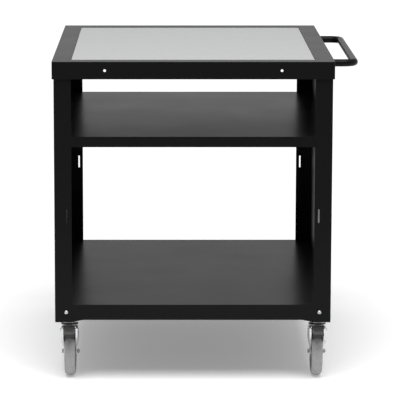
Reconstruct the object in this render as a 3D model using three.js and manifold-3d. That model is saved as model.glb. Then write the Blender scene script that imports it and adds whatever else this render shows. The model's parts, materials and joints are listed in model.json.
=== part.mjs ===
// Rolling utility cart: sheet-steel body with two shelves and an inset top, a side handle,
// and four swivel casters, two of them with a foot brake.
// Millimetres, +Z up. The front faces -Y and the handle is on +X.
// The body is laid out around its own centre, standing on z = 0, and the whole group is
// moved at the end so that the origin is the middle of the bottom of its bounding box.

import * as THREE from 'three';
import { mergeVertices } from 'three/addons/utils/BufferGeometryUtils.js';
import Module from 'manifold-3d';

const wasm = await Module();
wasm.setup();

// ---------------------------------------------------------------- driving dimensions

const TOP_WIDTH = 710; // top frame, along X
const TOP_DEPTH = 910; // top frame, along Y
const HEIGHT = 821; // floor to the top frame's upper face
const SHEET = 1.5; // every folded sheet
const BEND = 3; // outer radius of a fold
const GAP = 0.3; // between pieces that rest on each other
const BORE_FIT = 2 * GAP; // a hole's diameter over its pin's
const PAST = 5; // how far a cutting tool runs past the faces that it cuts
const APRON_HEIGHT = 44;
const BORDER = 47; // top frame's flat border around the inset panel
const OVERHANG = 4.2; // apron beyond the side panels

const PANEL_THICKNESS = 5;
const PANEL_RECESS = 1.5; // panel's face below the border
const PANEL_CLEARANCE = 0.8; // around the panel's edge
const LEDGE = 15; // width of the ledge that carries the panel

const FLANGE = 44; // front and rear flanges of a side panel
const HEM = 24; // top and bottom folds of a side panel
const SLOT_LENGTH = 35;
const SLOT_WIDTH = 4;
const SLOT_HEIGHT = 428.5; // slot's centre above the floor
const SLOT_INSET = 33; // slot's centre from the outer side face
const APRON_HOLE = 7;
const APRON_HOLE_X = 222;

const UPPER_SHELF_Z = 631; // upper face
const UPPER_SHELF_LIP = 26.5;
const LOWER_SHELF_Z = 199.5; // upper face
const LOWER_SHELF_LIP = 39.5;
const SHELF_HEM = 14; // lip's return fold
const HEM_END = 95; // side panel's bottom fold stops this far from its ends, clear of the brackets

const SCREW_INSET = 28.8; // shelf screw from the outer side face
const SCREW_Z = 180;
const SCREW_THREAD = 6;
const SCREW_HEAD = 10;
const SCREW_HOLE = 6.8;

const TUBE = 19; // handle tube
const TUBE_WALL = 1.5;
const HANDLE_REACH = 62; // bar axis beyond the apron
const HANDLE_SPACING = 570; // between the two arms
const HANDLE_BEND = 28; // centreline radius
const INSERT_LENGTH = 22; // threaded plug in each end of the tube

const CASTER_HEIGHT = 154;
const CASTER_INSET = { left: 36, right: 32 }; // swivel axis from the side panel's outer face
const CASTER_SETBACK = 36; // swivel axis from the side panel's front or rear face
const TRAIL = 38; // wheel axle behind the swivel axis
const WHEEL_DIAMETER = 125;
const WHEEL_WIDTH = 28;
const WHEEL_WEB = { x: 4.5, inner: 14.5, outer: 42 }; // half thickness, and the radii it runs between
const WHEEL_BOSS = 12; // radius of the hub's ends
const WHEEL_RIM = { radius: 50, half: 11 };
const RACE = { diameter: 46, rim: 2.6, neck: 30, height: 11.6 }; // rim disc and the neck above it
const FORK_SHEET = 2.2;
const FORK_HALF_WIDTH = 17; // outer face of a leg at the axle
const FORK_FRONT = -25; // crown's front and rear edges from the swivel axis
const FORK_REAR = 27;
const FORK_FOOT = 13; // radius of a leg's round end
const KINGPIN = 12;
const KINGPIN_HEAD = { diameter: 18, height: 6.5, chamfer: 0.8, socket: 8, socketDepth: 3 };
const KINGPIN_NUT = { flats: 18, height: 9 };
const AXLE = 6;
const AXLE_FLATS = 10; // across the flats of the axle's bolt head and nut
const BRACKET = { thickness: 5, width: 73, depth: 88, corner: 28, chamfer: 15, relief: 4 };

const PEDAL_PIN = { y: -18, z: 131.5, diameter: 5, head: 7, headHeight: 0.8 };
const PEDAL_TRAVEL = 20; // degrees, down
const PEDAL_REACH = 62; // pedal's front edge from the swivel axis
const PEDAL_WIDTH = 28;
const CAM_WIDTH = 22;
const LUG = { radius: 6.5, half: 18.8 }; // around the pin, between the fork's legs
const CAM_TIP = 4; // radius of the cam's tip
const BRAKE_CLEARANCE = 0.7; // cam's tip to the tyre with the pedal right down

// ---------------------------------------------------------------- materials

function finish(color, roughness, metalness) {
  return new THREE.MeshStandardMaterial({ color, roughness, metalness });
}

const blackPowder = finish(0x1a1a1a, 0.45, 0.0);
const greyPanel = finish(0xc4c5c6, 0.5, 0.0);
const zinc = finish(0xb9bcbf, 0.3, 1.0);
const steel = finish(0x9a9c9e, 0.35, 1.0);
const greyRubber = finish(0x8f9090, 0.7, 0.0);
const greyPlastic = finish(0x9a9b9b, 0.5, 0.0);
const darkPlastic = finish(0x3f3e3c, 0.55, 0.0);

// ---------------------------------------------------------------- solids

const CIRCLE = 20; // sides of a round piece

// A three.js geometry as a manifold solid.
function solid(geometry) {
  const bare = geometry.index ? geometry.clone() : mergeVertices(geometry);
  bare.deleteAttribute('normal');
  bare.deleteAttribute('uv');
  const merged = mergeVertices(bare, 1e-4);
  return new wasm.Manifold(new wasm.Mesh({
    numProp: 3,
    vertProperties: new Float32Array(merged.attributes.position.array),
    triVerts: new Uint32Array(merged.index.array),
  }));
}

// A manifold solid as a flat-shaded three.js geometry.
function geometryOf(manifold) {
  const mesh = manifold.getMesh();
  const indexed = new THREE.BufferGeometry();
  indexed.setAttribute('position', new THREE.BufferAttribute(mesh.vertProperties, 3));
  indexed.setIndex(new THREE.BufferAttribute(mesh.triVerts, 1));
  const flat = indexed.toNonIndexed();
  flat.computeVertexNormals();
  return flat;
}

function join(...parts) {
  return parts.reduce((whole, part) => whole.add(part));
}

function cut(body, ...tools) {
  return tools.reduce((left, tool) => left.subtract(tool), body);
}

function block([x0, x1], [y0, y1], [z0, z1]) {
  const box = new THREE.BoxGeometry(x1 - x0, y1 - y0, z1 - z0);
  return solid(box.translate((x0 + x1) / 2, (y0 + y1) / 2, (z0 + z1) / 2));
}

// A flat outline in X and Y, raised from z0 to z1.
function raised(shape, z0, z1, curveSegments = 4) {
  const geometry = new THREE.ExtrudeGeometry(shape, {
    depth: z1 - z0, bevelEnabled: false, curveSegments,
  });
  return solid(geometry.translate(0, 0, z0));
}

// An outline drawn in Y (across) and Z (up), as thick along X as x0 to x1.
function sideways(shape, x0, x1, curveSegments = 5) {
  const geometry = new THREE.ExtrudeGeometry(shape, {
    depth: x1 - x0, bevelEnabled: false, curveSegments,
  });
  const yzx = new THREE.Matrix4().set(0, 0, 1, x0, 1, 0, 0, 0, 0, 1, 0, 0, 0, 0, 0, 1);
  return solid(geometry.applyMatrix4(yzx));
}

// A round bar along one axis, from a to b, centred on the other two coordinates.
function bar(axis, diameter, a, b, [u, v] = [0, 0], sides = CIRCLE) {
  const geometry = new THREE.CylinderGeometry(diameter / 2, diameter / 2, b - a, sides);
  const middle = (a + b) / 2;
  if (axis === 'x') geometry.rotateZ(-Math.PI / 2).translate(middle, u, v);
  if (axis === 'y') geometry.translate(u, middle, v);
  if (axis === 'z') geometry.rotateX(Math.PI / 2).translate(u, v, middle);
  return solid(geometry);
}

// A profile of [radius, height] points turned around the Z axis.
function turned(profile, sides = CIRCLE) {
  const points = profile.map(([r, z]) => new THREE.Vector2(r, z));
  return solid(new THREE.LatheGeometry(points, sides).rotateX(Math.PI / 2));
}

// A closed ring section turned around the X axis, its points as [radius, x].
function wheelRing(section, sides) {
  const points = [...section, section[0]].map(([r, x]) => new THREE.Vector2(r, x));
  return solid(new THREE.LatheGeometry(points, sides).rotateZ(-Math.PI / 2));
}

function roundedRectangle(x0, x1, y0, y1, r) {
  const shape = new THREE.Shape();
  shape.moveTo(x0 + r, y0);
  shape.lineTo(x1 - r, y0);
  shape.absarc(x1 - r, y0 + r, r, -Math.PI / 2, 0, false);
  shape.lineTo(x1, y1 - r);
  shape.absarc(x1 - r, y1 - r, r, 0, Math.PI / 2, false);
  shape.lineTo(x0 + r, y1);
  shape.absarc(x0 + r, y1 - r, r, Math.PI / 2, Math.PI, false);
  shape.lineTo(x0, y0 + r);
  shape.absarc(x0 + r, y0 + r, r, Math.PI, 1.5 * Math.PI, false);
  return shape;
}

function hexagon(acrossFlats) {
  const shape = new THREE.Shape();
  const radius = acrossFlats / Math.sqrt(3);
  for (let i = 0; i < 6; i += 1) {
    const angle = (i * Math.PI) / 3;
    shape.lineTo(radius * Math.cos(angle), radius * Math.sin(angle));
  }
  return shape;
}

// ---------------------------------------------------------------- derived levels

const topX = TOP_WIDTH / 2;
const topY = TOP_DEPTH / 2;
const sideX = topX - OVERHANG; // side panels' outer faces
const sideY = topY - OVERHANG; // side panels' front and rear faces
const apronMiddle = HEIGHT - APRON_HEIGHT / 2;
const bodyBottom = CASTER_HEIGHT + 0.2;
const bodyTop = HEIGHT - SHEET - GAP;
const casterX = { [-1]: CASTER_INSET.left - sideX, 1: sideX - CASTER_INSET.right }; // by side
const casterY = sideY - CASTER_SETBACK;

// ---------------------------------------------------------------- sheet-metal body

// A lid: a flat border with a folded apron, and a ledge around the opening for the panel.
function topFrame() {
  const shell = raised(roundedRectangle(-topX, topX, -topY, topY, BEND), HEIGHT - APRON_HEIGHT, HEIGHT);
  const rim = raised(
    roundedRectangle(-topX + SHEET, topX - SHEET, -topY + SHEET, topY - SHEET, BEND - SHEET),
    HEIGHT - APRON_HEIGHT - 1,
    HEIGHT - SHEET,
  );
  const openX = topX - BORDER;
  const openY = topY - BORDER;
  const ledgeTop = HEIGHT - PANEL_RECESS - PANEL_THICKNESS - GAP;
  const well = block(
    [-openX - SHEET, openX + SHEET],
    [-openY - SHEET, openY + SHEET],
    [ledgeTop - SHEET, HEIGHT - SHEET / 2],
  );
  const recess = block([-openX, openX], [-openY, openY], [ledgeTop, HEIGHT + 1]);
  const window = block(
    [-openX + LEDGE, openX - LEDGE], [-openY + LEDGE, openY - LEDGE], [ledgeTop - PAST, ledgeTop + 1],
  );
  const frontHoles = [-1, 1].map((side) => (
    bar('y', APRON_HOLE, -topY - PAST, topY + PAST, [side * APRON_HOLE_X, apronMiddle], 12)
  ));
  const handleHoles = [-1, 1].map((side) => (
    bar('x', SCREW_HOLE, topX - PAST, topX + PAST, [(side * HANDLE_SPACING) / 2, apronMiddle], 12)
  ));
  return cut(join(cut(shell, rim), well), recess, window, ...frontHoles, ...handleHoles);
}

function topPanel() {
  const x = topX - BORDER - PANEL_CLEARANCE;
  const y = topY - BORDER - PANEL_CLEARANCE;
  const top = HEIGHT - PANEL_RECESS;
  return raised(roundedRectangle(-x, x, -y, y, 1.5), top - PANEL_THICKNESS, top);
}

// The plan outline of a side panel: a channel with its flanges at the front and rear.
function channelOutline(side) {
  const shape = new THREE.Shape();
  const inner = BEND - SHEET;
  const web = sideX - BEND;
  const end = sideY - BEND;
  const corner = (y, radius, from, to) => {
    const start = side > 0 ? from : Math.PI - from;
    const stop = side > 0 ? to : Math.PI - to;
    shape.absarc(side * web, y, radius, start, stop, side > 0 ? from > to : from < to);
  };
  shape.moveTo(side * (sideX - FLANGE), -sideY);
  corner(-end, BEND, -Math.PI / 2, 0);
  corner(end, BEND, 0, Math.PI / 2);
  shape.lineTo(side * (sideX - FLANGE), sideY);
  shape.lineTo(side * (sideX - FLANGE), sideY - SHEET);
  corner(end, inner, Math.PI / 2, 0);
  corner(-end, inner, 0, -Math.PI / 2);
  shape.lineTo(side * (sideX - FLANGE), -sideY + SHEET);
  return shape;
}

function slot(side, x) {
  const straight = (SLOT_LENGTH - SLOT_WIDTH) / 2;
  const ends = [-1, 1].map((up) => (
    bar('y', SLOT_WIDTH, -sideY - PAST, sideY + PAST, [side * x, SLOT_HEIGHT + up * straight], 12)
  ));
  const middle = block(
    [side * x - SLOT_WIDTH / 2, side * x + SLOT_WIDTH / 2],
    [-sideY - PAST, sideY + PAST],
    [SLOT_HEIGHT - straight, SLOT_HEIGHT + straight],
  );
  return join(middle, ...ends);
}

function sidePanel(side) {
  const channel = raised(channelOutline(side), bodyBottom, bodyTop);
  const web = [side * (sideX - HEM), side * (sideX - SHEET / 2)].sort((a, b) => a - b);
  const topHem = block(web, [-sideY + SHEET / 2, sideY - SHEET / 2], [bodyTop - SHEET, bodyTop]);
  const hemY = sideY - HEM_END;
  const bottomHem = block(web, [-hemY, hemY], [bodyBottom, bodyBottom + SHEET]);
  const screwX = side * (sideX - SCREW_INSET);
  const tools = [
    slot(side, sideX - SLOT_INSET),
    bar('y', SCREW_HOLE, -sideY - PAST, sideY + PAST, [screwX, SCREW_Z], 12),
  ];
  if (side > 0) {
    [-1, 1].forEach((end) => tools.push(
      bar('x', SCREW_HOLE, sideX - PAST, sideX + PAST, [(end * HANDLE_SPACING) / 2, apronMiddle], 12),
    ));
  }
  return cut(join(channel, topHem, bottomHem), ...tools);
}

// A shelf is an upside-down tray, its lips folded in again at the bottom, front and rear.
function shelf(top, lip, screwed) {
  const x = sideX - SHEET - GAP;
  const y = sideY - SHEET - GAP;
  const tray = raised(roundedRectangle(-x, x, -y, y, BEND), top - lip, top);
  const inside = raised(
    roundedRectangle(-x + SHEET, x - SHEET, -y + SHEET, y - SHEET, BEND - SHEET),
    top - lip - 1,
    top - SHEET,
  );
  const hem = (end) => {
    const edges = [end * (y - SHEET / 2), end * (y - SHELF_HEM)].sort((a, b) => a - b);
    return block([-x + BEND, x - BEND], edges, [top - lip, top - lip + SHEET]);
  };
  const body = join(cut(tray, inside), hem(-1), hem(1));
  if (!screwed) return body;
  const holes = [-1, 1].map((side) => (
    bar('y', SCREW_HOLE, -sideY - PAST, sideY + PAST, [side * (sideX - SCREW_INSET), SCREW_Z], 12)
  ));
  return cut(body, ...holes);
}

// The plate that a caster bolts to, in the bottom corner of a side panel.
function cornerBracket(side, end) {
  const near = SHEET + GAP;
  const { thickness, width, depth, corner, chamfer, relief } = BRACKET;
  const outline = [
    [near + relief, near], [FLANGE, near], [width, near + corner], [width, depth - chamfer],
    [width - chamfer, depth], [near, depth], [near, near + relief],
  ];
  const shape = new THREE.Shape(outline.map(([inward, back]) => (
    new THREE.Vector2(side * (sideX - inward), end * (sideY - back))
  )));
  const bottom = CASTER_HEIGHT + GAP;
  const top = bottom + thickness;
  const hole = bar('z', KINGPIN + BORE_FIT, bottom - PAST, top + PAST, [casterX[side], end * casterY], 14);
  return cut(raised(shape, bottom, top), hole);
}

// ---------------------------------------------------------------- fasteners

// A button-head screw with a hexagonal socket. Its head's seat is at the origin, the thread on +Z.
function buttonScrew(length) {
  const head = 3.3;
  const r = SCREW_HEAD / 2;
  const dome = [45, 72].map(THREE.MathUtils.degToRad).map((a) => [r * Math.sin(a), -head * Math.cos(a)]);
  const body = turned([
    [0, -head], [1.5, -head], ...dome, [r, -0.5], [r, 0],
    [SCREW_THREAD / 2, 0], [SCREW_THREAD / 2, length - 0.8], [SCREW_THREAD / 2 - 0.8, length], [0, length],
  ], 14);
  return cut(body, raised(hexagon(4), -head - 1, -1.2));
}

function hexHeadBolt(acrossFlats, head, diameter, length) {
  const shank = turned([
    [0, 0.5 - head], [diameter / 2, 0.5 - head], [diameter / 2, length - 1],
    [diameter / 2 - 1, length], [0, length],
  ], 14);
  return join(raised(hexagon(acrossFlats), -head, 0), shank);
}

function hexNut(acrossFlats, height, hole) {
  return cut(raised(hexagon(acrossFlats), 0, height), bar('z', hole, -1, height + 1, [0, 0], 14));
}

// ---------------------------------------------------------------- handle

// The centreline of the handle, with one station at each end and several on each bend.
class HandlePath extends THREE.Curve {
  constructor(bendSteps) {
    super();
    const half = HANDLE_SPACING / 2;
    const bar0 = HANDLE_REACH - HANDLE_BEND;
    this.stations = [{ x: 0, y: -half, angle: 0 }];
    [-1, 1].forEach((end) => {
      for (let i = 0; i <= bendSteps; i += 1) {
        const angle = ((end + 1) / 2 + i / bendSteps) * (Math.PI / 2);
        this.stations.push({
          x: bar0 + HANDLE_BEND * Math.sin(angle),
          y: end * (half - HANDLE_BEND) - HANDLE_BEND * Math.cos(angle),
          angle,
        });
      }
    });
    this.stations.push({ x: 0, y: half, angle: Math.PI });
  }

  get steps() {
    return this.stations.length - 1;
  }

  station(t) {
    return this.stations[Math.round(t * this.steps)];
  }

  getPointAt(t) {
    return new THREE.Vector3(this.station(t).x, this.station(t).y, 0);
  }

  getPoint(t) {
    return this.getPointAt(t);
  }

  getTangentAt(t) {
    return new THREE.Vector3(Math.cos(this.station(t).angle), Math.sin(this.station(t).angle), 0);
  }
}

function handle() {
  const section = new THREE.Shape();
  section.absarc(0, 0, TUBE / 2, 0, 2 * Math.PI);
  const bore = new THREE.Path();
  bore.absarc(0, 0, TUBE / 2 - TUBE_WALL, 0, 2 * Math.PI, true);
  section.holes.push(bore);
  const path = new HandlePath(5);
  const sweep = { steps: path.steps, extrudePath: path, curveSegments: 7 };
  const tube = new THREE.ExtrudeGeometry(section, sweep);
  return solid(tube.translate(topX + GAP, 0, apronMiddle));
}

// The threaded plug inside each end of the handle tube.
function handleInsert(end) {
  const x = topX + GAP + 0.5;
  const y = (end * HANDLE_SPACING) / 2;
  const plug = bar('x', TUBE - 2 * TUBE_WALL - 0.8, x, x + INSERT_LENGTH, [y, apronMiddle], 20);
  return cut(plug, bar('x', SCREW_HOLE, x - 1, x + INSERT_LENGTH + 1, [y, apronMiddle], 12));
}

// ---------------------------------------------------------------- caster
// Each caster is drawn around its swivel axis, on the floor, with the wheel trailing on +Y.

const wheelR = WHEEL_DIAMETER / 2;
const axle = { y: TRAIL, z: wheelR };
const raceBottom = CASTER_HEIGHT - RACE.height;
const crownTop = raceBottom - 0.5;
const crownBottom = crownTop - FORK_SHEET - 0.5;
const flare = (RACE.diameter / 2 - FORK_HALF_WIDTH) / (crownBottom - axle.z); // legs spread upwards

function casterRace() {
  const rim = RACE.diameter / 2;
  const neck = RACE.neck / 2;
  return cut(turned([
    [0, raceBottom], [rim, raceBottom], [rim, raceBottom + RACE.rim], [neck + 2, raceBottom + RACE.rim + 2],
    [neck, CASTER_HEIGHT], [0, CASTER_HEIGHT],
  ]), bar('z', KINGPIN + BORE_FIT, 0, CASTER_HEIGHT + PAST, [0, 0], 14));
}

function forkLeg(side) {
  const neck = crownBottom - 17; // the front edge runs straight down to here
  const shape = new THREE.Shape();
  shape.moveTo(FORK_FRONT, crownBottom + 1);
  shape.lineTo(FORK_FRONT, neck);
  shape.bezierCurveTo(FORK_FRONT, neck - 17, axle.y - FORK_FOOT, axle.z + 30, axle.y - FORK_FOOT, axle.z);
  shape.absarc(axle.y, axle.z, FORK_FOOT, Math.PI, 2 * Math.PI, false);
  shape.bezierCurveTo(axle.y + FORK_FOOT, axle.z + 33, FORK_REAR, neck - 19, FORK_REAR, crownBottom + 1);
  const outer = side * FORK_HALF_WIDTH;
  const inner = side * (FORK_HALF_WIDTH - FORK_SHEET);
  const pressing = { depth: FORK_SHEET, bevelEnabled: false, curveSegments: 5 };
  const leg = new THREE.ExtrudeGeometry(shape, pressing);
  const yzx = new THREE.Matrix4().set(
    0, 0, 1, Math.min(outer, inner), 1, 0, 0, 0, 0, 1, 0, 0, 0, 0, 0, 1,
  );
  const spread = new THREE.Matrix4().set(
    1, 0, side * flare, -side * flare * axle.z, 0, 1, 0, 0, 0, 0, 1, 0, 0, 0, 0, 1,
  );
  return solid(leg.applyMatrix4(yzx).applyMatrix4(spread));
}

function fork(braked) {
  const half = RACE.diameter / 2;
  const crown = raised(roundedRectangle(-half, half, FORK_FRONT, FORK_REAR, 11), crownBottom, crownTop);
  const tools = [
    bar('z', KINGPIN + BORE_FIT, crownBottom - PAST, crownTop + PAST, [0, 0], 14),
    bar('x', AXLE + BORE_FIT, -half - PAST, half + PAST, [axle.y, axle.z], 14),
  ];
  if (braked) tools.push(pedalPinBore());
  return cut(join(crown, forkLeg(-1), forkLeg(1)), ...tools);
}

function pedalPinBore() {
  const reach = RACE.diameter / 2 + PAST;
  return bar('x', PEDAL_PIN.diameter + BORE_FIT, -reach, reach, [PEDAL_PIN.y, PEDAL_PIN.z], 12);
}

function kingpin() {
  const { diameter, height, chamfer, socket, socketDepth } = KINGPIN_HEAD;
  const seatZ = crownBottom - GAP;
  const bottom = seatZ - height;
  const shank = KINGPIN / 2;
  const top = CASTER_HEIGHT + BRACKET.thickness + KINGPIN_NUT.height + 4;
  return cut(turned([
    [0, bottom], [diameter / 2 - chamfer, bottom], [diameter / 2, bottom + chamfer], [diameter / 2, seatZ],
    [shank, seatZ], [shank, top - 1], [shank - 1, top], [0, top],
  ]), raised(hexagon(socket), bottom - PAST, bottom + socketDepth));
}

function kingpinNut() {
  const { flats, height } = KINGPIN_NUT;
  const seatZ = CASTER_HEIGHT + BRACKET.thickness + 2 * GAP;
  return hexNut(flats, height, KINGPIN + BORE_FIT).translate([0, 0, seatZ]);
}

const seat = FORK_HALF_WIDTH + 0.8; // bolt head and nut, clear of the flared legs
const alongX = new THREE.Matrix4().makeRotationY(Math.PI / 2);

function axleBolt() {
  const bolt = geometryOf(hexHeadBolt(AXLE_FLATS, 4, AXLE, 2 * seat + 6.5));
  return solid(bolt.applyMatrix4(alongX).translate(-seat, axle.y, axle.z));
}

function axleNut() {
  const nut = geometryOf(hexNut(AXLE_FLATS, 5, AXLE + BORE_FIT));
  return solid(nut.applyMatrix4(alongX).translate(seat, axle.y, axle.z));
}

// Ring sections of the wheel's three pieces, each as [radius, x] points.
const sleeveR = 5.5;
const sleeveHalf = FORK_HALF_WIDTH - FORK_SHEET - 0.9;
const hubHalf = sleeveHalf - 0.4;

function axleSleeve() {
  const bore = AXLE / 2 + 0.3;
  const ring = [[bore, -sleeveHalf], [sleeveR, -sleeveHalf], [sleeveR, sleeveHalf], [bore, sleeveHalf]];
  return wheelRing(ring, 14).translate([0, axle.y, axle.z]);
}

function wheelCore() {
  const bore = sleeveR + 0.3;
  const { x, inner, outer } = WHEEL_WEB;
  const rim = [WHEEL_RIM.radius, WHEEL_RIM.half];
  const side = [[bore, hubHalf], [WHEEL_BOSS, hubHalf], [inner, x], [outer, x], rim];
  const section = [...side.map(([radius, half]) => [radius, -half]), ...side.reverse()];
  return wheelRing(section, 24).translate([0, axle.y, axle.z]);
}

function tyre() {
  const half = WHEEL_WIDTH / 2;
  const shoulder = WHEEL_RIM.radius + 2.5;
  const seatR = WHEEL_RIM.radius + GAP;
  const section = [[seatR, half - 3], [seatR, 3 - half], [shoulder - 0.5, 0.6 - half]];
  const steps = 6;
  for (let i = 0; i <= steps; i += 1) {
    const angle = (i / steps - 0.5) * Math.PI;
    section.push([shoulder + (wheelR - shoulder) * Math.cos(angle), half * Math.sin(angle)]);
  }
  section.push([shoulder - 0.5, half - 0.6]);
  return wheelRing(section, 32).translate([0, axle.y, axle.z]);
}

// The pedal and its brake cam are one piece on the pin. The cam's tip meets the tyre when
// the pedal is right down, so at rest it points away from the tyre by the pedal's travel.
function brakePedal() {
  const { y, z } = PEDAL_PIN;
  const toWheel = Math.atan2(axle.z - z, axle.y - y);
  const reach = Math.hypot(axle.z - z, axle.y - y) - wheelR - BRAKE_CLEARANCE - CAM_TIP;
  const angle = toWheel - THREE.MathUtils.degToRad(PEDAL_TRAVEL);
  const tipY = y + reach * Math.cos(angle);
  const tipZ = z + reach * Math.sin(angle);
  const cam = new THREE.Shape();
  cam.absarc(y, z, LUG.radius, angle + Math.PI / 2 + 0.1, angle - Math.PI / 2 - 0.1, false);
  cam.absarc(tipY, tipZ, CAM_TIP, angle - Math.PI / 2, angle + Math.PI / 2, false);
  const heel = FORK_FRONT - 2; // the pedal rises here, in front of the fork's crown
  const brow = raceBottom + RACE.rim; // as high as the top of the race's rim
  const tread = -PEDAL_REACH + 3; // where the tread turns down into the nose
  const lip = z - 7;
  const lever = new THREE.Shape();
  lever.moveTo(y + 4, z + 4.5);
  lever.lineTo(y - 4, z + 7);
  lever.lineTo(heel, z + 7);
  lever.lineTo(heel - 1, brow);
  lever.quadraticCurveTo(-PEDAL_REACH + 12, z + 10, tread, z - 1.5);
  lever.quadraticCurveTo(-PEDAL_REACH, z - 2.5, -PEDAL_REACH, lip);
  lever.lineTo(tread, lip);
  lever.lineTo(tread + 3, lip + 4);
  lever.quadraticCurveTo(y - 24, z + 2, y - 6, z + 1);
  lever.lineTo(y, z - 2);
  const pad = sideways(lever, -PEDAL_WIDTH / 2, PEDAL_WIDTH / 2);
  const lugs = bar('x', 2 * LUG.radius, -LUG.half, LUG.half, [y, z]);
  const shoe = sideways(cam, -CAM_WIDTH / 2, CAM_WIDTH / 2);
  return cut(join(pad, shoe, lugs), pedalPinBore());
}

function pedalPin() {
  const { y, z, diameter, head, headHeight } = PEDAL_PIN;
  const end = FORK_HALF_WIDTH + flare * (z - axle.z) + 2.5 * GAP;
  const heads = [
    bar('x', head, -end - headHeight, -end, [y, z], 12),
    bar('x', head, end, end + headHeight, [y, z], 12),
  ];
  return join(bar('x', diameter, -end - headHeight / 2, end + headHeight / 2, [y, z], 12), ...heads);
}

// ---------------------------------------------------------------- assembly

const cart = new THREE.Group();

function add(parent, name, body, material) {
  const mesh = new THREE.Mesh(geometryOf(body), material);
  mesh.name = name;
  parent.add(mesh);
  return mesh;
}

add(cart, 'top_frame', topFrame(), blackPowder);
add(cart, 'top_panel', topPanel(), greyPanel);
add(cart, 'side_panel_left', sidePanel(-1), blackPowder);
add(cart, 'side_panel_right', sidePanel(1), blackPowder);
add(cart, 'upper_shelf', shelf(UPPER_SHELF_Z, UPPER_SHELF_LIP, false), blackPowder);
add(cart, 'lower_shelf', shelf(LOWER_SHELF_Z, LOWER_SHELF_LIP, true), blackPowder);
add(cart, 'handle_tube', handle(), blackPowder);

[['front', -1], ['rear', 1]].forEach(([endName, end]) => {
  add(cart, `handle_insert_${endName}`, handleInsert(end), steel);
  const bolt = add(cart, `handle_bolt_${endName}`, buttonScrew(26), zinc);
  bolt.rotation.y = Math.PI / 2;
  bolt.position.set(sideX - SHEET - GAP, (end * HANDLE_SPACING) / 2, apronMiddle);

  [['left', -1], ['right', 1]].forEach(([sideName, side]) => {
    const corner = `${endName}_${sideName}`;
    const braked = end < 0;
    add(cart, `corner_bracket_${corner}`, cornerBracket(side, end), blackPowder);
    const screw = add(cart, `shelf_screw_${corner}`, buttonScrew(14), zinc);
    screw.rotation.x = (end * Math.PI) / 2;
    screw.position.set(side * (sideX - SCREW_INSET), end * (sideY + GAP), SCREW_Z);

    const caster = new THREE.Group();
    caster.position.set(casterX[side], end * casterY, 0);
    cart.add(caster);
    add(caster, `caster_race_${corner}`, casterRace(), zinc);
    add(caster, `kingpin_${corner}`, kingpin(), steel);
    add(caster, `kingpin_nut_${corner}`, kingpinNut(), zinc);
    add(caster, `fork_${corner}`, fork(braked), zinc);
    add(caster, `axle_bolt_${corner}`, axleBolt(), steel);
    add(caster, `axle_nut_${corner}`, axleNut(), steel);
    add(caster, `axle_sleeve_${corner}`, axleSleeve(), steel);
    add(caster, `wheel_core_${corner}`, wheelCore(), greyPlastic);
    add(caster, `tyre_${corner}`, tyre(), greyRubber);
    if (braked) {
      add(caster, `brake_pedal_${corner}`, brakePedal(), darkPlastic);
      add(caster, `pedal_pin_${corner}`, pedalPin(), steel);
    }
  });
});

// Put the origin at the middle of the bottom of the whole cart's bounding box.
const extent = new THREE.Box3().setFromObject(cart, true);
const middle = extent.getCenter(new THREE.Vector3());
cart.position.set(-middle.x, -middle.y, -extent.min.z);

export default cart;
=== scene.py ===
"""Looks of the rolling utility cart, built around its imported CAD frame.

Metres, +Z up. The cart's front faces -Y and its handle is on +X. Sheet metal keeps its CAD shape
with softened edges. Wheels, forks, races, pedals, handle and visible fasteners are remade finer
in the same places, each standing for its CAD node.
"""

import json
import math

import bmesh
import bpy
from mathutils import Matrix, Vector

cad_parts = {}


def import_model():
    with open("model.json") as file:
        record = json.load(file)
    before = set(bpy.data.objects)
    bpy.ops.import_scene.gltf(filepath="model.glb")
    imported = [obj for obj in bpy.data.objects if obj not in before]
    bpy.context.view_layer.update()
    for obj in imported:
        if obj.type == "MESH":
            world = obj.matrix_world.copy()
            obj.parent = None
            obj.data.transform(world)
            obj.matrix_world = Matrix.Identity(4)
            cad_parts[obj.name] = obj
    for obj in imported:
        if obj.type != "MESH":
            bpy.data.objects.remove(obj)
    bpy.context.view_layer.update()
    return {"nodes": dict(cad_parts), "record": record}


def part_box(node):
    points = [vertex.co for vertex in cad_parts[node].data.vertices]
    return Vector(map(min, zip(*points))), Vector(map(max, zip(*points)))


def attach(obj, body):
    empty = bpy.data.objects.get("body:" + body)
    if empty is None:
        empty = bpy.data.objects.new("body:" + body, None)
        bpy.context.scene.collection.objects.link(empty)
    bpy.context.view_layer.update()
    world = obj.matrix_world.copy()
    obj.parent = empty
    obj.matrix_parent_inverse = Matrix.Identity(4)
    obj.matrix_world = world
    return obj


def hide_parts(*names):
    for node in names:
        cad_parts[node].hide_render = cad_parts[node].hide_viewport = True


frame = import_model()
NODES = frame["nodes"]
CORNERS = ("front_left", "front_right", "rear_left", "rear_right")
BRAKED = ("front_left", "front_right")


def centre(node):
    low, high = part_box(node)
    return (low + high) / 2


# ---------------------------------------------------------------- materials


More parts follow.
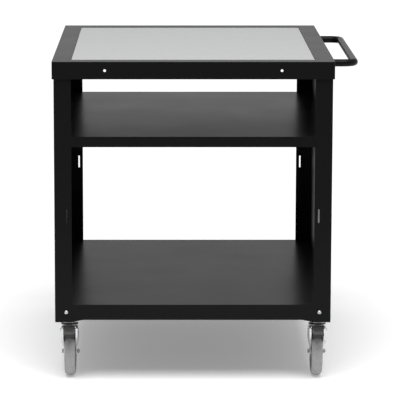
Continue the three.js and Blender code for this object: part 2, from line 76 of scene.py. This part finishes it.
class Paint:
    """A node material: a Principled shader with procedural colour, roughness and bump."""

    def __init__(self, name, roughness, metallic=0.0, ior=1.45, specular=0.5):
        self.material = bpy.data.materials.new(name)
        self.material.use_nodes = True
        self.nodes = self.material.node_tree.nodes
        self.links = self.material.node_tree.links
        self.shader = self.nodes["Principled BSDF"]
        self.set("Roughness", roughness)
        self.set("Metallic", metallic)
        self.set("IOR", ior)
        self.set("Specular IOR Level", specular)
        self.where = self.nodes.new("ShaderNodeTexCoord").outputs["Object"]

    def set(self, socket, value):
        self.shader.inputs[socket].default_value = value

    def noise(self, scale, detail, rough=0.5, stretch=(1, 1, 1)):
        """Noise with cells of about 1 / scale metres, stretched along an axis."""
        place = self.nodes.new("ShaderNodeMapping")
        place.inputs["Scale"].default_value = stretch
        self.links.new(self.where, place.inputs["Vector"])
        node = self.nodes.new("ShaderNodeTexNoise")
        node.inputs["Scale"].default_value = scale
        node.inputs["Detail"].default_value = detail
        node.inputs["Roughness"].default_value = rough
        self.links.new(place.outputs["Vector"], node.inputs["Vector"])
        return node.outputs["Fac"]

    def cells(self, scale):
        """Voronoi cells, each with its own value from 0 to 1."""
        node = self.nodes.new("ShaderNodeTexVoronoi")
        node.inputs["Scale"].default_value = scale
        self.links.new(self.where, node.inputs["Vector"])
        split = self.nodes.new("ShaderNodeSeparateColor")
        self.links.new(node.outputs["Color"], split.inputs["Color"])
        return split.outputs["Red"]

    def ramp(self, value, low, high, start=0.3, end=0.7):
        """Colours from low to high as value goes from start to end."""
        node = self.nodes.new("ShaderNodeValToRGB")
        node.color_ramp.elements[0].position = start
        node.color_ramp.elements[1].position = end
        node.color_ramp.elements[0].color = (*low, 1)
        node.color_ramp.elements[1].color = (*high, 1)
        self.links.new(value, node.inputs["Fac"])
        return node.outputs["Color"]

    def span(self, value, low, high):
        """value, from 0 to 1, as a number from low to high."""
        node = self.nodes.new("ShaderNodeMapRange")
        node.inputs["To Min"].default_value = low
        node.inputs["To Max"].default_value = high
        self.links.new(value, node.inputs["Value"])
        return node.outputs["Result"]

    def drive(self, socket, value):
        self.links.new(value, self.shader.inputs[socket])

    def bump(self, height, strength, distance):
        node = self.nodes.new("ShaderNodeBump")
        node.inputs["Strength"].default_value = strength
        node.inputs["Distance"].default_value = distance
        self.links.new(height, node.inputs["Height"])
        before = self.shader.inputs["Normal"]
        if before.is_linked:
            self.links.new(before.links[0].from_socket, node.inputs["Normal"])
        self.links.new(node.outputs["Normal"], before)


def powder_coat(name, roughness=0.31):
    """Semi-gloss black powder coat: orange peel, fine grit and a slightly uneven gloss."""
    paint = Paint(name, roughness, ior=1.36, specular=0.145)
    paint.drive("Base Color", paint.ramp(paint.noise(900, 3), (0.0042,) * 3, (0.0070,) * 3))
    paint.drive("Roughness", paint.span(paint.noise(7, 3), roughness - 0.03, roughness + 0.03))
    paint.bump(paint.noise(420, 2), 0.10, 0.0004)
    paint.bump(paint.noise(2600, 1), 0.06, 0.0001)
    return paint.material


def laminate(name):
    """Light-grey laminate of the inset top: faint mottle, fine pores and satin gloss."""
    paint = Paint(name, 0.42, ior=1.45, specular=0.35)
    mottle = paint.ramp(paint.noise(60, 4, 0.6), (0.395, 0.398, 0.402), (0.420, 0.423, 0.427))
    paint.drive("Base Color", mottle)
    paint.drive("Roughness", paint.span(paint.noise(25, 3), 0.38, 0.46))
    paint.bump(paint.noise(1500, 2), 0.10, 0.0001)
    return paint.material


def zinc(name, roughness=0.27):
    """Bright zinc plate: faint crystal grain and a soft draw direction."""
    paint = Paint(name, roughness, metallic=1.0)
    grain = paint.cells(260)
    paint.drive("Base Color", paint.ramp(grain, (0.56, 0.57, 0.58), (0.70, 0.71, 0.72), 0.0, 1.0))
    paint.drive("Roughness", paint.span(paint.noise(120, 3), roughness - 0.05, roughness + 0.07))
    paint.bump(paint.noise(700, 2, stretch=(1, 1, 0.2)), 0.12, 0.0001)
    return paint.material


def plain_steel(name):
    """Turned steel of pins, bolts and sleeves, slightly oiled and darker than the plate."""
    paint = Paint(name, 0.34, metallic=1.0)
    paint.drive("Base Color", paint.ramp(paint.noise(300, 3), (0.25, 0.25, 0.255), (0.36, 0.36, 0.365)))
    paint.drive("Roughness", paint.span(paint.noise(500, 2), 0.26, 0.42))
    paint.bump(paint.noise(1400, 1, stretch=(0.2, 1, 1)), 0.08, 0.0001)
    return paint.material


def tread_rubber(name):
    """Grey non-marking rubber: matt, with a thin uneven film of floor dust."""
    paint = Paint(name, 0.62, ior=1.45, specular=0.35)
    paint.drive("Base Color", paint.ramp(paint.noise(90, 5, 0.65), (0.29,) * 3, (0.345,) * 3))
    paint.drive("Roughness", paint.span(paint.noise(220, 3), 0.52, 0.72))
    paint.bump(paint.noise(1300, 3), 0.15, 0.0002)
    return paint.material


def hub_plastic(name):
    """Moulded grey polypropylene of the wheel core."""
    paint = Paint(name, 0.45, ior=1.49, specular=0.4)
    paint.drive("Base Color", paint.ramp(paint.noise(70, 3), (0.33, 0.33, 0.33), (0.38, 0.38, 0.385)))
    paint.drive("Roughness", paint.span(paint.noise(160, 2), 0.40, 0.52))
    paint.bump(paint.noise(1100, 2), 0.08, 0.0001)
    return paint.material


def pedal_nylon(name):
    """Dark-grey glass-filled nylon of the pedals, with a moulded leather grain."""
    paint = Paint(name, 0.5, ior=1.5, specular=0.4)
    mottle = paint.ramp(paint.noise(240, 3), (0.018, 0.0175, 0.0168), (0.026, 0.025, 0.024))
    paint.drive("Base Color", mottle)
    paint.drive("Roughness", paint.span(paint.noise(400, 2), 0.44, 0.58))
    paint.bump(paint.cells(1300), 0.10, 0.0001)
    return paint.material


MATERIALS = {
    "body_powder_coat": powder_coat("body_powder_coat"),
    "handle_powder_coat": powder_coat("handle_powder_coat", 0.30),
    "top_panel": laminate("top_panel"),
    "zinc_plate": zinc("zinc_plate"),
    "plated_fasteners": zinc("plated_fasteners", 0.42),
    "steel_pins": plain_steel("steel_pins"),
    "wheel_core": hub_plastic("wheel_core"),
    "wheel_tread": tread_rubber("wheel_tread"),
    "brake_pedal": pedal_nylon("brake_pedal"),
}
SLOT_OF = {entry["node"]: entry["material_slot"] for entry in frame["record"]["subparts"]}

for node_name, node in NODES.items():
    node.data.materials.clear()
    node.data.materials.append(MATERIALS[SLOT_OF[node_name]])


# ---------------------------------------------------------------- softened CAD sheet metal


def soften(node, width):
    """Round a CAD node's hard edges. Its own mesh stays as it is."""
    weld = node.modifiers.new("weld", "WELD")
    weld.merge_threshold = 0.00001
    bevel = node.modifiers.new("soft_edges", "BEVEL")
    bevel.width = width
    bevel.segments = 3
    bevel.limit_method = "ANGLE"
    bevel.angle_limit = math.radians(35)


for node_name, width in (
    ("top_frame", 0.0007),
    ("top_panel", 0.0006),
    ("side_panel_left", 0.0004),
    ("side_panel_right", 0.0004),
    ("upper_shelf", 0.0006),
    ("lower_shelf", 0.0006),
):
    soften(NODES[node_name], width)


# ---------------------------------------------------------------- finer pieces


def piece(name, mesh, node, smooth=35):
    """Make a mesh the visible piece of a CAD node, on that node's body and in its finish."""
    bmesh.ops.recalc_face_normals(mesh, faces=mesh.faces)
    data = bpy.data.meshes.new(name)
    mesh.to_mesh(data)
    mesh.free()
    data.materials.append(MATERIALS[SLOT_OF[node]])
    thing = bpy.data.objects.new(name, data)
    bpy.context.scene.collection.objects.link(thing)
    data.shade_smooth()
    data.set_sharp_from_angle(angle=math.radians(smooth))
    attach(thing, body_of(node))
    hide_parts(node)
    return thing


def body_of(node):
    for body, members in frame["record"]["behaviour"]["bodies"].items():
        if node in members:
            return body
    raise ValueError(node)


def hexagon(flats, corner=None):
    """Radius of a hexagon at an angle, its corners cut off at radius corner."""

    def radius(angle):
        turn = (angle + math.pi / 6) % (math.pi / 3) - math.pi / 6
        reach = flats / 2 / math.cos(turn)
        return min(reach, corner) if corner else reach

    return radius


def turned(mesh, profile, axis, at, sides):
    """Add a profile of (radius, height) turned about an axis through at. A radius may be a
    function of the angle. The profile starts and ends on the axis, or closes on itself."""
    turn = {
        "x": Matrix.Rotation(math.pi / 2, 4, "Y"),
        "y": Matrix.Rotation(-math.pi / 2, 4, "X"),
        "-y": Matrix.Rotation(math.pi / 2, 4, "X"),
        "z": Matrix.Identity(4),
    }[axis]
    place = Matrix.Translation(at) @ turn
    rings = []
    for radius, height in profile:
        if radius == 0:
            rings.append([mesh.verts.new(place @ Vector((0, 0, height)))])
            continue
        ring = []
        for i in range(sides):
            angle = 2 * math.pi * i / sides
            r = radius(angle) if callable(radius) else radius
            ring.append(mesh.verts.new(place @ Vector((r * math.cos(angle), r * math.sin(angle), height))))
        rings.append(ring)
    closed = len(rings[0]) > 1
    pairs = list(zip(rings, rings[1:] + rings[:1])) if closed else list(zip(rings, rings[1:]))
    for below, above in pairs:
        for i in range(sides):
            j = (i + 1) % sides
            low_pair = [below[i % len(below)], below[j % len(below)]]
            high_pair = [above[j % len(above)], above[i % len(above)]]
            mesh.faces.new(list(dict.fromkeys(low_pair + high_pair)))


def arc(centre_r, centre_h, radius, start, end, steps):
    """Points of a round corner in a profile, from one angle to another in degrees."""
    points = []
    for i in range(steps + 1):
        angle = math.radians(start + (end - start) * i / steps)
        points.append((centre_r + radius * math.cos(angle), centre_h + radius * math.sin(angle)))
    return points


def prism(mesh, outline, x0, x1):
    """Add an outline of (y, z) points, as thick as x0 to x1."""
    ends = [[mesh.verts.new((x, y, z)) for y, z in outline] for x in (x0, x1)]
    mesh.faces.new(ends[0])
    mesh.faces.new(ends[1][::-1])
    count = len(outline)
    for i in range(count):
        j = (i + 1) % count
        mesh.faces.new([ends[0][i], ends[0][j], ends[1][j], ends[1][i]])


def bevelled(thing, width, segments, angle=40):
    """Round a finer piece's edges that are sharper than an angle in degrees."""
    bevel = thing.modifiers.new("edges", "BEVEL")
    bevel.width = width
    bevel.segments = segments
    bevel.limit_method = "ANGLE"
    bevel.angle_limit = math.radians(angle)
    bevel.harden_normals = True


# ---- wheels


def build_tyre(corner):
    """The tyre: a band round the core's rim, with a crown that curves from side to side."""
    node = f"tyre_{corner}"
    low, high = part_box(node)
    outer = (high.z - low.z) / 2
    half = (high.x - low.x) / 2
    inner = (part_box(f"wheel_core_{corner}")[1].z - centre(node).z) + 0.0001
    shoulder = inner + 0.0024
    steps = 28
    crown = []
    for i in range(steps + 1):
        angle = math.radians(-90 + 180 * i / steps)
        crown.append((shoulder + (outer - shoulder) * math.cos(angle), half * math.sin(angle)))
    seat = half - 0.0028
    edge = (shoulder - 0.0008, half - 0.0004)
    profile = [(inner, -seat), (edge[0], -edge[1]), *crown, edge, (inner, seat)]
    mesh = bmesh.new()
    turned(mesh, profile, "x", centre(node), 144)
    piece(f"{node}_tread", mesh, node)


def build_core(corner):
    """The wheel's core: boss, web, rim and six ribs on each side."""
    node = f"wheel_core_{corner}"
    at = centre(node)
    low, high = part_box(node)
    rim = (high.z - low.z) / 2
    half = (high.x - low.x) / 2
    bore = 0.0058
    boss = 0.0120
    web = 0.0040
    lip = half - 0.0030
    face = [
        (bore, half), (boss - 0.0010, half), (boss, half - 0.0010),
        *arc(boss + 0.0030, web + 0.0030, 0.0028, 180, 270, 5),
        *arc(rim - 0.0068, web + 0.0030, 0.0030, 270, 360, 5),
        (rim - 0.0034, lip - 0.0010), (rim - 0.0024, lip), (rim, lip),
    ]
    profile = [(r, -h) for r, h in face] + face[::-1]
    mesh = bmesh.new()
    turned(mesh, profile, "x", at, 144)
    ribs = 6
    for i in range(ribs):
        spin = Matrix.Translation(at) @ Matrix.Rotation(2 * math.pi * (i + 0.5) / ribs, 4, "X")
        rib = bmesh.new()
        root, end = boss - 0.0006, rim - 0.0035
        outline = [(root, -0.0016), (end, -0.0012), (end, 0.0012), (root, 0.0016)]
        tops = [half - 0.0035, lip - 0.0030, lip - 0.0030, half - 0.0035]
        for side in (-1, 1):
            foot_ring = [rib.verts.new(spin @ Vector((side * (web - 0.0005), y, z))) for y, z in outline]
            top_ring = [
                rib.verts.new(spin @ Vector((side * top, y, z))) for top, (y, z) in zip(tops, outline)
            ]
            rib.faces.new(foot_ring)
            rib.faces.new(top_ring)
            for k in range(4):
                m = (k + 1) % 4
                rib.faces.new([foot_ring[k], foot_ring[m], top_ring[m], top_ring[k]])
        data = bpy.data.meshes.new("rib")
        rib.to_mesh(data)
        rib.free()
        mesh.from_mesh(data)
        bpy.data.meshes.remove(data)
    bevelled(piece(f"{node}_ribbed", mesh, node), 0.0005, 2)


# ---- swivel heads


def build_race(corner):
    """The upper half of the swivel head: a rolled rim disc under a neck that leans in slightly."""
    node = f"caster_race_{corner}"
    low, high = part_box(node)
    rim = (high.x - low.x) / 2
    neck = 0.0150
    bore = 0.0063
    thick = 0.0026
    step = low.z + thick
    at = Vector((centre(node).x, centre(node).y, 0))
    profile = [
        (bore, low.z), (rim - 0.0005, low.z), (rim, low.z + 0.0004), (rim - 0.0002, step - 0.0006),
        *arc(rim - 0.0009, step - 0.0007, 0.0007, 10, 80, 4),
        (neck + 0.0030, step + 0.0004), (neck + 0.0012, step + 0.0016), (neck + 0.0007, step + 0.0026),
        (neck + 0.0001, high.z - 0.0006), (neck - 0.0005, high.z), (bore, high.z),
    ]
    mesh = bmesh.new()
    turned(mesh, profile, "z", at, 128)
    piece(f"{node}_cap", mesh, node)


def build_fork(corner):
    """A pressed fork: one sheet that runs down one leg, over the crown and down the other.
    The legs bulge out to the crown's width, and their edges are flanged in towards the tyre."""
    node = f"fork_{corner}"
    low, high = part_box(node)
    pivot = centre(f"caster_race_{corner}")
    axle = centre(f"tyre_{corner}")
    sheet = 0.0022
    half = (high.x - low.x) / 2 - 0.0001
    foot_half = 0.0170
    foot = axle.z - low.z
    front_top = low.y
    rear_top = pivot.y + 0.027
    bend = 0.0090
    top = high.z
    shoulder = top - bend
    neck = top - 0.0197
    clear_of_tyre = 0.0152
    crown_flange = 0.0030
    corner_part = 0.30  # of a leg's half depth that each flange's round corner takes
    full_width_at = 0.62  # of the way up from the axle to the shoulder, where the legs stop widening
    rear_sweep = 1.6  # how late the legs' rear edges swing back on their way up
    waist_depth = 0.10  # of the crown's depth, taken off at its middle

    def smooth(t):
        t = min(max(t, 0.0), 1.0)
        return t * t * (3 - 2 * t)

    def edges(z):
        """Front and rear edges of a leg at a height."""
        if z <= axle.z:
            reach = math.sqrt(max(foot**2 - (z - axle.z) ** 2, 0))
            return axle.y - reach, axle.y + reach
        front = axle.y - foot + (front_top - axle.y + foot) * smooth((z - axle.z) / (neck - axle.z))
        rise = ((z - axle.z) / (top - axle.z)) ** rear_sweep
        rear = axle.y + foot + (rear_top - axle.y - foot) * rise
        return front, rear

    def leg_x(z):
        bulge = min(max(z - axle.z, 0) / (full_width_at * (shoulder - axle.z)), 1.0)
        return foot_half + (half - foot_half) * math.sin(math.pi / 2 * bulge) ** 2

    # stations up one leg and over half the crown: x, z, the outward normal and the flange's depth
    path = []
    steps = 34
    for i in range(steps + 1):
        z = low.z + (shoulder - low.z) * (1 - math.cos(math.pi / 2 * i / steps))
        flange = min(leg_x(z) - clear_of_tyre, bend - 0.0018)
        path.append((leg_x(z), z, (1.0, 0.0), flange))
    bend_steps = 8
    for i in range(1, bend_steps + 1):
        angle = math.pi / 2 * i / bend_steps
        out = (math.cos(angle), math.sin(angle))
        flange = path[steps][3] + (crown_flange - path[steps][3]) * smooth(i / bend_steps)
        path.append((half - bend + bend * out[0], shoulder + bend * out[1], out, flange))
    for i in range(1, bend_steps + 1):
        path.append(((half - bend) * (1 - i / bend_steps), top, (0.0, 1.0), crown_flange))
    mirrored = [(-x, z, (-nx, nz), flange) for x, z, (nx, nz), flange in path[-2::-1]]

    # the sheet's section: flat between two round corners, as parts of the half depth and of the flange
    section = []
    corner_steps = 6
    for i in range(corner_steps + 1):
        angle = math.pi / 2 * (1 - i / corner_steps)
        section.append((-1 + corner_part * (1 - math.sin(angle)), 1 - math.cos(angle)))
    flat = 2 - 2 * corner_part
    flat_steps = 8
    section += [(-1 + corner_part + flat * i / flat_steps, 0.0) for i in range(1, flat_steps)]
    section += [(-part, inward) for part, inward in section[corner_steps::-1]]

    mesh = bmesh.new()
    rows = []
    for x, z, (nx, nz), flange in path + mirrored:
        front, rear = edges(z)
        waist = 1.0 - waist_depth * (1 - abs(x) / half) if z > shoulder else 1.0
        middle = (front + rear) / 2
        reach = (rear - front) / 2 * waist
        rows.append([])
        for part, inward in section:
            sink = flange * inward
            rows[-1].append(mesh.verts.new((pivot.x + x - nx * sink, middle + reach * part, z - nz * sink)))
    for below, above in zip(rows, rows[1:]):
        for k in range(len(section) - 1):
            mesh.faces.new([below[k], below[k + 1], above[k + 1], above[k]])
    bmesh.ops.remove_doubles(mesh, verts=mesh.verts, dist=0.00002)
    bmesh.ops.dissolve_degenerate(mesh, edges=mesh.edges, dist=0.00002)
    thing = piece(f"{node}_pressing", mesh, node, smooth=60)
    thick = thing.modifiers.new("sheet", "SOLIDIFY")
    thick.thickness = sheet
    thick.offset = -1
    thick.use_even_offset = False
    bevelled(thing, 0.0004, 2, 50)


def build_axle(corner):
    """Hex-head axle bolt and its nut, with chamfered corners and a washer face."""
    flats = 0.010
    wide = hexagon(flats, 0.0057)
    chamfered = hexagon(flats, 0.0050)
    node = f"axle_bolt_{corner}"
    low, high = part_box(node)
    at = Vector((0, centre(node).y, centre(node).z))
    head = low.x + 0.0040
    shank = 0.0030
    mesh = bmesh.new()
    turned(mesh, [
        (0, low.x), (0.0042, low.x), (chamfered, low.x + 0.0003), (wide, low.x + 0.0008),
        (wide, head - 0.0004), (0.0048, head), (shank, head),
        (shank, high.x - 0.0008), (shank - 0.0006, high.x), (0, high.x),
    ], "x", at, 72)
    piece(f"{node}_head", mesh, node, 25)

    node = f"axle_nut_{corner}"
    low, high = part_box(node)
    bore = 0.0033
    mesh = bmesh.new()
    turned(mesh, [
        (bore, low.x), (0.0046, low.x), (wide, low.x + 0.0005), (wide, high.x - 0.0007),
        (chamfered, high.x - 0.0002), (0.0042, high.x), (bore + 0.0003, high.x), (bore, high.x - 0.0005),
    ], "x", at, 72)
    piece(f"{node}_hex", mesh, node, 25)


# ---- brake pedals


def build_pedal(corner):
    """The toe pedal with its heel, lip, side skirts and grip ribs, the lugs on its pin, and the cam."""
    node = f"brake_pedal_{corner}"
    low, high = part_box(node)
    pin = centre(f"pedal_pin_{corner}")
    half = 0.014
    skirt = 0.0024
    front = low.y
    heel = front + 0.035
    y, z = pin.y, pin.z
    brow = high.z - 0.0001

    def curve(a, b, c, steps):
        return [
            tuple((1 - t) ** 2 * p + 2 * t * (1 - t) * q + t * t * r for p, q, r in zip(a, b, c))
            for t in (i / steps for i in range(1, steps + 1))
        ]

    tread = curve((heel - 0.001, brow), (front + 0.012, z + 0.010), (front + 0.003, z - 0.0015), 16)
    nose = curve(tread[-1], (front, z - 0.0025), (front, z - 0.007), 6)
    lip = [(front + 0.0024, z - 0.007), (front + 0.006, z - 0.003)]
    under = curve(lip[-1], (y - 0.024, z + 0.002), (y - 0.006, z + 0.001), 12)
    back = [
        (y, z - 0.002), (y + 0.004, z + 0.0045), (y - 0.004, z + 0.007), (heel, z + 0.007),
        (heel - 0.001, brow),
    ]
    mesh = bmesh.new()
    prism(mesh, [*tread, *nose, *lip, *under, *back], pin.x - half, pin.x + half)
    for side in (-1, 1):
        edges = sorted((pin.x + side * half, pin.x + side * (half - skirt)))
        wall = [(front + 0.004, z - 0.006), (y - 0.014, z - 0.0075), (y - 0.004, z - 0.0055),
                (y - 0.004, z + 0.003), (front + 0.010, z + 0.001)]
        prism(mesh, wall, *edges)
    ribs = 5
    for i in range(ribs):
        foot, ahead = Vector(tread[4 + 2 * i]), Vector(tread[5 + 2 * i])
        along = (ahead - foot).normalized()
        out = Vector((along.y, -along.x))
        out = out if out.y > 0 else -out
        ridge = [foot - out * 0.0006, foot + along * 0.0016 - out * 0.0006,
                 foot + along * 0.0012 + out * 0.0009, foot + along * 0.0004 + out * 0.0009]
        prism(mesh, [tuple(p) for p in ridge], pin.x - half + 0.003, pin.x + half - 0.003)
    lug = 0.0065
    bore = 0.0028
    ends = half + 0.0007
    turned(mesh, [
        (bore, -ends), (lug - 0.0006, -ends), (lug, 0.0006 - ends), (lug, ends - 0.0006),
        (lug - 0.0006, ends), (bore, ends),
    ], "x", pin, 64)
    wheel = centre(f"tyre_{corner}")
    travel = math.radians(20)
    angle = math.atan2(wheel.z - z, wheel.y - y) - travel
    tip = 0.004
    reach = (z - low.z - tip) / -math.sin(angle)
    tip_y, tip_z = y + reach * math.cos(angle), z + reach * math.sin(angle)
    root = lug * 0.98
    steps = 12
    cam = []
    for i in range(steps + 1):
        a = angle + math.pi / 2 + 0.1 + (math.pi - 0.2) * i / steps
        cam.append((y + root * math.cos(a), z + root * math.sin(a)))
    for i in range(steps + 1):
        a = angle - math.pi / 2 + math.pi * i / steps
        cam.append((tip_y + tip * math.cos(a), tip_z + tip * math.sin(a)))
    cam_half = 0.011
    prism(mesh, cam, pin.x - cam_half, pin.x + cam_half)
    bevelled(piece(f"{node}_moulding", mesh, node), 0.0005, 3)


def build_pin(corner):
    """The pedal's pin, its ends riveted over on the fork's legs."""
    node = f"pedal_pin_{corner}"
    low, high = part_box(node)
    at = Vector((0, centre(node).y, centre(node).z))
    head = 0.0008
    shank = 0.0025
    rivet = [(0, 0), (0.0022, 0.0001), (0.0032, 0.0004), (0.0035, head), (shank, head)]
    profile = [(r, low.x + h) for r, h in rivet] + [(r, high.x - h) for r, h in rivet[::-1]]
    mesh = bmesh.new()
    turned(mesh, profile, "x", at, 48)
    piece(f"{node}_riveted", mesh, node)


# ---- shelf screws and handle


def build_screw(corner):
    """Button-head socket screw in a flange, its thread pointing into the shelf's lip."""
    node = f"shelf_screw_{corner}"
    low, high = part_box(node)
    outward = -1 if corner.startswith("front") else 1
    tip = high.y if outward < 0 else low.y
    face = low.y if outward < 0 else high.y
    at = Vector((centre(node).x, face, centre(node).z))
    r = 0.0050
    socket = hexagon(0.0036)
    head = 0.0033
    thread = 0.0030
    dome = []
    for degrees in range(26, 91, 8):
        a = math.radians(degrees)
        dome.append((r * math.sin(a), head * (1 - math.cos(a))))
    length = abs(tip - face)
    profile = [
        (0, 0.0022), (socket, 0.0021), (socket, 0.00035), *dome, (r, head),
        (thread, head), (thread, length - 0.0008), (thread - 0.0008, length), (0, length),
    ]
    mesh = bmesh.new()
    turned(mesh, profile, "y" if outward < 0 else "-y", at, 72)
    piece(f"{node}_button", mesh, node, 30)


def build_handle():
    """The bent tube, open at the ends that stand on the apron."""
    node = "handle_tube"
    low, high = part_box(node)
    r = (high.z - low.z) / 2
    wall = 0.0015
    bend = 0.028
    x_bar = high.x - r
    y_arm = (high.y - low.y) / 2 - r
    y_mid = centre(node).y
    z = centre(node).z
    stations = [(low.x, -y_arm, 0.0)]
    steps = 18
    for end in (-1, 1):
        for i in range(steps + 1):
            angle = (0 if end < 0 else math.pi / 2) + math.pi / 2 * i / steps
            x = x_bar - bend + bend * math.sin(angle)
            y = end * (y_arm - bend) - bend * math.cos(angle)
            stations.append((x, y, angle))
    stations.append((low.x, y_arm, math.pi))
    sides = 48
    mesh = bmesh.new()
    skins = []
    for radius in (r, r - wall):
        rings = []
        for x, y, heading in stations:
            middle = Vector((x, y_mid + y, z))
            across = Vector((-math.sin(heading), math.cos(heading), 0))
            ring = []
            for k in range(sides):
                a = 2 * math.pi * k / sides
                rise = Vector((0, 0, radius * math.sin(a)))
                ring.append(mesh.verts.new(middle + across * radius * math.cos(a) + rise))
            rings.append(ring)
        skins.append(rings)
    for rings in skins:
        for before, after in zip(rings, rings[1:]):
            for k in range(sides):
                m = (k + 1) % sides
                mesh.faces.new([before[k], before[m], after[m], after[k]])
    for end in (0, -1):
        for k in range(sides):
            m = (k + 1) % sides
            mesh.faces.new([skins[0][end][k], skins[0][end][m], skins[1][end][m], skins[1][end][k]])
    piece("handle_tube_bent", mesh, node, 50)


for name in CORNERS:
    build_tyre(name)
    build_core(name)
    build_race(name)
    build_fork(name)
    build_axle(name)
    build_screw(name)
for name in BRAKED:
    build_pedal(name)
    build_pin(name)
build_handle()


# ---------------------------------------------------------------- floor, light and camera


def floor():
    """A white floor that ends behind the cart, where the white surroundings take over."""
    bpy.ops.mesh.primitive_plane_add(size=1)
    plane = bpy.context.object
    plane.name = "studio_floor"
    width = 14
    near, far = -2.0, 2.0
    plane.scale = (width, far - near, 1)
    plane.location = (0, (near + far) / 2, 0)
    paint = Paint("studio_floor", 0.9, specular=0.0)
    paint.set("Base Color", (0.90, 0.90, 0.90, 1))
    paint.set("Emission Color", (1, 1, 1, 1))
    paint.set("Emission Strength", 0.24)
    plane.data.materials.append(paint.material)


def area_light(name, size, power, at, towards):
    data = bpy.data.lights.new(name, "AREA")
    data.shape = "RECTANGLE"
    data.size, data.size_y = size
    data.energy = power
    lamp = bpy.data.objects.new(name, data)
    lamp.location = at
    lamp.rotation_euler = (Vector(towards) - Vector(at)).to_track_quat("-Z", "Y").to_euler()
    bpy.context.scene.collection.objects.link(lamp)


def world():
    """Surroundings that light the cart most from behind, and less from the front and from above.
    The camera itself sees plain white."""
    surroundings = bpy.data.worlds.new("studio")
    bpy.context.scene.world = surroundings
    surroundings.use_nodes = True
    nodes, links = surroundings.node_tree.nodes, surroundings.node_tree.links
    nodes.clear()
    out = nodes.new("ShaderNodeOutputWorld")
    coordinates = nodes.new("ShaderNodeTexCoord")
    split = nodes.new("ShaderNodeSeparateXYZ")
    links.new(coordinates.outputs["Generated"], split.inputs["Vector"])
    ramp = nodes.new("ShaderNodeMapRange")
    ramp.inputs["From Min"].default_value = -0.45
    ramp.inputs["From Max"].default_value = 0.35
    ramp.inputs["To Min"].default_value = 0.60
    ramp.inputs["To Max"].default_value = 1.03
    links.new(split.outputs["Y"], ramp.inputs["Value"])
    ceiling = nodes.new("ShaderNodeMapRange")
    ceiling.inputs["From Min"].default_value = 0.13
    ceiling.inputs["From Max"].default_value = 0.20
    ceiling.inputs["To Min"].default_value = 1.0
    ceiling.inputs["To Max"].default_value = 0.62
    links.new(split.outputs["Z"], ceiling.inputs["Value"])
    both = nodes.new("ShaderNodeMath")
    both.operation = "MULTIPLY"
    links.new(ramp.outputs["Result"], both.inputs[0])
    links.new(ceiling.outputs["Result"], both.inputs[1])
    lit = nodes.new("ShaderNodeBackground")
    links.new(both.outputs["Value"], lit.inputs["Strength"])
    seen = nodes.new("ShaderNodeBackground")
    seen.inputs["Color"].default_value = (1, 1, 1, 1)
    seen.inputs["Strength"].default_value = 1.1
    path = nodes.new("ShaderNodeLightPath")
    mix = nodes.new("ShaderNodeMixShader")
    links.new(path.outputs["Is Camera Ray"], mix.inputs["Fac"])
    links.new(lit.outputs["Background"], mix.inputs[1])
    links.new(seen.outputs["Background"], mix.inputs[2])
    links.new(mix.outputs["Shader"], out.inputs["Surface"])


def camera():
    """In front of the cart and above it, a little left of its middle, looking down."""
    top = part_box("top_frame")
    distance = 6.258
    height = 0.722
    sideways = -0.0739
    tilt = 9.722
    data = bpy.data.cameras.new("camera")
    data.sensor_width = 36
    data.lens = 226.48
    data.shift_x = 0.0905
    eye = bpy.data.objects.new("camera", data)
    middle = (top[0].x + top[1].x) / 2
    eye.location = (middle + sideways, top[0].y - distance, top[1].z + height)
    eye.rotation_euler = (math.radians(90 - tilt), 0, 0)
    bpy.context.scene.collection.objects.link(eye)
    bpy.context.scene.camera = eye


floor()
world()
area_light("overhead", size=(4.0, 4.0), power=290, at=(0, -2.1, 5.0), towards=(0, 0, 0.2))
camera()
bpy.context.scene.view_settings.view_transform = "Standard"
